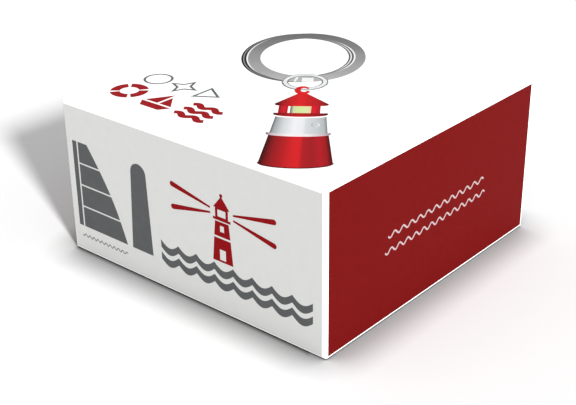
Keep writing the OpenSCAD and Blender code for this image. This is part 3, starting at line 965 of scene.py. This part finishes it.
BAND_GREYS = [(0.0, 188), (1.0, 112), (0.25, 168), (0.5, 152), (0.75, 128)]
EDGE_GREYS = [(0.0, 22), (1.0, 104), (0.12, 34), (0.4, 96)]
GLINT_GREYS = [(0.0, 150), (1.0, 252), (0.3, 176)]
WHITE_GREYS = [(0.0, 246), (1.0, 252), (0.4, 226)]
edge_art = art("picture_edge", brushed(EDGE_GREYS, 0, 0.05))
glint_art = art("picture_glint", brushed(GLINT_GREYS, 0, 0.05))
white_art = art("picture_edge_white", brushed(WHITE_GREYS, 0, 0.02))
band_art = art("picture_band", brushed(BAND_GREYS, 1, 0.08, closing=False))
# the ring's stripes from the lowest layer up: (how far it is moved to the right, its look)
STRIPES = [
    (-1.75, edge_art), (-1.3, glint_art), (-0.95, edge_art), (-0.45, white_art), (0.0, band_art),
]
for i, (shift, look) in enumerate(STRIPES):
    picture(f"split_ring_{i + 1}", ring_shape(shift), i, look)

# the link ring over it: white metal between thin grey outlines
LINK, LINK_OUT, LINK_IN, LINK_LINE = (0.95, 3.85), 5.6, 4.1, 0.28


def hoop(outer, inner):
    return [(ellipse(*LINK, outer, outer), [ellipse(*LINK, inner, inner)])]


hoop_grey = art("picture_link_edge", lambda g: tinted(g, lit(TOP_LIGHT, 128, 130, 132), 1.5, 0.25))
hoop_white = art("picture_link", lambda g: tinted(g, lit(TOP_LIGHT, 240, 242, 243), 2.0, 0.05))
picture("link_edge", hoop(LINK_OUT, LINK_IN), 5, hoop_grey)
white_hoop = hoop(LINK_OUT - LINK_LINE, LINK_IN + LINK_LINE)
picture("link", white_hoop, 6, hoop_white)

# two glints on the split ring, seen through the link
glints = [box(0.1, 4.1, 2.9, 6.6), [(-1.9, 4.1), (-1.3, 4.1), (-0.8, 7.0), (-1.4, 7.0)]]
glint = art("picture_white", lambda g: tinted(g, lit(TOP_LIGHT, 250, 250, 250), 2.0, 0.02))
picture("glints", [(outline, []) for outline in glints], 6, glint)

# the hook at the roof's tip, open to one side
hook = arc(*HOOK, *HOOK_R, HOOK_START, HOOK_END, 40)
hook += arc(*HOOK_EYE, *HOOK_EYE_R, HOOK_END, HOOK_START, 32)
picture("hook", [(hook, [])], 7, roof_art)

# the lighthouse, from the foot up
tower = body(TOWER_TOP, TOWER_FOOT, TOWER_SAG)
picture("lower_tower", [(tower, [])], 0, red_art)
shadow_art = art("picture_foot_edge", lambda g: tinted(g, lit(TOP_LIGHT, 92, 10, 14), 1.5, 0.2))
foot_edge = ribbon(sagging(*TOWER_FOOT, TOWER_SAG[1]), FOOT_LINE)
picture("foot_edge", [(foot_edge, [])], 1, shadow_art)
silver_band = body(BAND_TOP, BAND_FOOT, BAND_SAG)
picture("upper_tower", [(silver_band, [])], 1, silver_art)
PORTHOLE, PORTHOLE_R, PORTHOLE_LINE = (4.5, -23.4), (0.95, 1.25), 0.3
PORTHOLE_STOPS = [(0.0, (176, 181, 183)), (1.0, (250, 251, 252)), (0.5, (204, 208, 210))]
opening = ellipse(*PORTHOLE, *(r - PORTHOLE_LINE for r in PORTHOLE_R), 40)
porthole = [(ellipse(*PORTHOLE, *PORTHOLE_R, 40), [opening])]
porthole_art = shaded("picture_porthole", (3.5, 5.5, -22), (3.5, 5.5, -25), PORTHOLE_STOPS)
picture("porthole", porthole, 2, porthole_art)
collar = body((*RIM, RIM_Y), (*RIM, RIM_Y - RIM_T), RIM_SAG)
picture("collar", [(collar, [])], 2, rim_art)
cage = box(CAGE[0], CAGE_FOOT, CAGE[1], CAGE_TOP)
window = box(WINDOW[0], WINDOW[3], WINDOW[1], WINDOW[2])
picture("lantern", [(cage, [window])], 2, post_art)
lamp = box(LAMP_LEFT, WINDOW[3], WINDOW[1], WINDOW[2])
picture("lamp", [(lamp, [])], 0, lamp_art)
gallery = body((*DECK, DECK_Y), (*DECK, DECK_Y - DECK_T), DECK_SAG)
picture("gallery", [(gallery, [])], 3, deck_art)
roof = [(NECK[0], NECK_Y), (NECK[1], NECK_Y), (EAVES[1], EAVES_Y)]
roof += sagging(EAVES[0] + EAVES_IN, EAVES[1] - EAVES_IN, EAVES_Y - EAVES_T, EAVES_SAG)[::-1]
roof += [(EAVES[0], EAVES_Y)]
picture("roof", [(roof[::-1], [])], 4, roof_art)


# --------------------------------------------------------- floor, light, camera

FLOOR_HALF = 3.0  # metres
FLOOR_PALE = 0.8
floor_mesh = bpy.data.meshes.new("floor")
corners = [(x, y, 0) for x, y in box(-FLOOR_HALF, -FLOOR_HALF, FLOOR_HALF, FLOOR_HALF)]
floor_mesh.from_pydata(corners, [], [(0, 1, 2, 3)])
floor = bpy.data.objects.new("floor", floor_mesh)
bpy.context.scene.collection.objects.link(floor)
# The floor's colour carries painted shade where something stands close over it: how far, and
# how deep on either side of the box's diagonal. A second, narrow painted shade lies under the
# front's lower edge, and ends GAP_END short of the corner.
CONTACT_REACH, DEPTH_FRONT, DEPTH_RIGHT = 10.5, 1.8, 1.35
CORNER_BLEND = 2
GAP_REACH, GAP_DEPTH, GAP_END, GAP_FADE = 1.3, 1.3, 4.0, 1
floor_look = Graph("floor", roughness=0.9, ior=1.3)
pale = tinted(floor_look, [FLOOR_PALE] * 3 + [1], 400, 0.01)


def shade(reach, depth):
    """Painted shade for the floor's colour: ambient occlusion within reach, raised to the power of
    depth.
    """
    near = floor_look.node("ShaderNodeAmbientOcclusion", {"Distance": reach * MM}, samples=24)
    return floor_look.math("POWER", near.outputs["AO"], depth)


place = floor_look.node("ShaderNodeSeparateXYZ", {0: floor_look.here})
past = floor_look.math("ADD", place.outputs[0], place.outputs[1])  # 0 on the diagonal
blend = CORNER_BLEND * MM
wide = floor_look.spread(past, -blend, blend, DEPTH_FRONT, DEPTH_RIGHT)
narrow = floor_look.spread(past, -(GAP_END + GAP_FADE) * MM, -GAP_END * MM, GAP_DEPTH, 0)
painted_contact_shade = floor_look.math("MULTIPLY", shade(CONTACT_REACH, wide), shade(GAP_REACH, narrow))
grey = floor_look.node("ShaderNodeCombineXYZ", {0: painted_contact_shade, 1: painted_contact_shade, 2: painted_contact_shade}).outputs[0]
# the floor's colour is darkened by the painted contact shade
floor_look.colour(floor_look.mix(1.0, pale, grey, "MULTIPLY"))
floor_mesh.materials.append(floor_look.material)

# the room: white at the horizon, dimming evenly to DIM_AT and no further above it
HORIZON, OVERHEAD = 1.0, 0.56
DIM_AT = 0.5  # as the height of the direction's unit vector, which is 1 straight up
world = bpy.data.worlds.new("studio")
world.use_nodes = True
sky = world.node_tree
direction = sky.nodes.new("ShaderNodeTexCoord").outputs["Generated"]
rise = sky.nodes.new("ShaderNodeSeparateXYZ")
fade = sky.nodes.new("ShaderNodeMapRange")
for socket, value in enumerate((0.0, DIM_AT, HORIZON, OVERHEAD), start=1):
    fade.inputs[socket].default_value = value
sky.links.new(direction, rise.inputs[0])
sky.links.new(rise.outputs["Z"], fade.inputs[0])
sky.links.new(fade.outputs[0], sky.nodes["Background"].inputs["Strength"])
sky.nodes["Background"].inputs["Color"].default_value = (1, 1, 1, 1)
bpy.context.scene.world = world

# the key light stands at the right and a little to the front, low enough to throw the
# box's shadow out to its left
KEY_FROM = Vector((77, -35, 40))
KEY_ENERGY, KEY_SOFTNESS = 5.1, 6  # softness as the lamp's angle, in degrees
key_data = bpy.data.lights.new("key", "SUN")
key_data.energy = KEY_ENERGY
key_data.angle = math.radians(KEY_SOFTNESS)
key = bpy.data.objects.new("key", key_data)
key.rotation_euler = KEY_FROM.to_track_quat("Z", "Y").to_euler()
bpy.context.scene.collection.objects.link(key)

# camera: where it stands and looks, from the angles of the view onto the box
AZIMUTH, ELEVATION, ROLL = (math.radians(a) for a in (41.478, 25.305, -1.011))
LENS_MM, SENSOR_MM = 72.55, 36.0
SHIFT_X, SHIFT_Y = 0.0280, -0.0242
# measured in box widths from the middle of the box's foot
STANDS_AT = Vector((2.0930, -2.5042, 1.7111)) * SIDE * MM
CLIP_NEAR, CLIP_FAR = 0.01, 50  # metres

view_line = Vector((
    math.sin(AZIMUTH) * math.cos(ELEVATION),
    -math.cos(AZIMUTH) * math.cos(ELEVATION),
    math.sin(ELEVATION),
))
level = Vector((math.cos(AZIMUTH), math.sin(AZIMUTH), 0))
upward = view_line.cross(level)
turn = Matrix((level, upward, view_line)).transposed() @ Matrix.Rotation(ROLL, 3, "Z")
camera_data = bpy.data.cameras.new("camera")
camera_data.sensor_width = SENSOR_MM
camera_data.lens = LENS_MM
camera_data.shift_x, camera_data.shift_y = SHIFT_X, SHIFT_Y
camera_data.clip_start, camera_data.clip_end = CLIP_NEAR, CLIP_FAR
camera = bpy.data.objects.new("camera", camera_data)
camera.matrix_world = Matrix.Translation(STANDS_AT) @ turn.to_4x4()
bpy.context.scene.collection.objects.link(camera)
bpy.context.scene.camera = camera
bpy.context.scene.view_settings.view_transform = "Standard"
